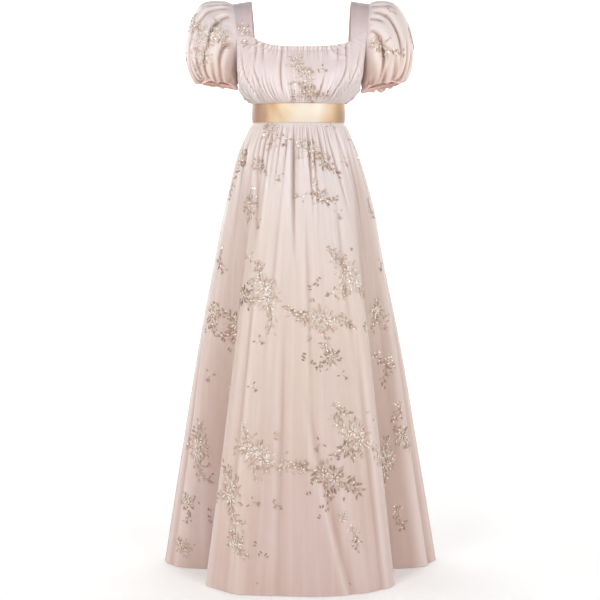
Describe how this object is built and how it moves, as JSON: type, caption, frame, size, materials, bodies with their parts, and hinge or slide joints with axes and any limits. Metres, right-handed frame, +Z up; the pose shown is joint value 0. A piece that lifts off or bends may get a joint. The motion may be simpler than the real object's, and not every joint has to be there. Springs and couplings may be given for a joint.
{
  "type": "embroidered lace wedding dress",
  "caption": "Empire-line wedding dress of embroidered net over satin, with puff sleeves, ribbon sash and gathered full-length skirt, hollow as worn.",
  "frame": {"origin": "middle of the line between the tops of the two shoulder straps, where the wearer's shoulders hold the dress", "axes": "+Z up along the wearer's body, -Y out of the dress's front, +X to the wearer's left"},
  "size_m": [0.7038, 0.5816, 1.4554],
  "materials": {
    "bodice_net": "embroidered net over satin, soft sheen",
    "skirt_net": "embroidered net over satin, soft sheen",
    "strap_net": "net over satin, soft sheen",
    "cuff_net": "gathered net over satin",
    "sash_satin": "champagne satin ribbon, glossy"
  },
  "bodies": {
    "root": {"bodice_front": "bodice_net", "bodice_back": "bodice_net", "strap_left": "strap_net", "strap_right": "strap_net", "sleeve_left": "bodice_net", "sleeve_right": "bodice_net", "cuff_left": "cuff_net", "cuff_right": "cuff_net", "sash": "sash_satin", "skirt_front_right_upper": "skirt_net", "skirt_front_centre_upper": "skirt_net", "skirt_front_left_upper": "skirt_net", "skirt_back_right_upper": "skirt_net", "skirt_back_right_rear_upper": "skirt_net", "skirt_back_centre_upper": "skirt_net", "skirt_back_left_rear_upper": "skirt_net", "skirt_back_left_upper": "skirt_net", "skirt_front_right_middle": "skirt_net", "skirt_front_centre_middle": "skirt_net", "skirt_front_left_middle": "skirt_net", "skirt_back_right_middle": "skirt_net", "skirt_back_right_rear_middle": "skirt_net", "skirt_back_centre_middle": "skirt_net", "skirt_back_left_rear_middle": "skirt_net", "skirt_back_left_middle": "skirt_net", "skirt_front_right_lower": "skirt_net", "skirt_front_centre_lower": "skirt_net", "skirt_front_left_lower": "skirt_net", "skirt_back_right_lower": "skirt_net", "skirt_back_right_rear_lower": "skirt_net", "skirt_back_centre_lower": "skirt_net", "skirt_back_left_rear_lower": "skirt_net", "skirt_back_left_lower": "skirt_net"}
  },
  "joints": []
}
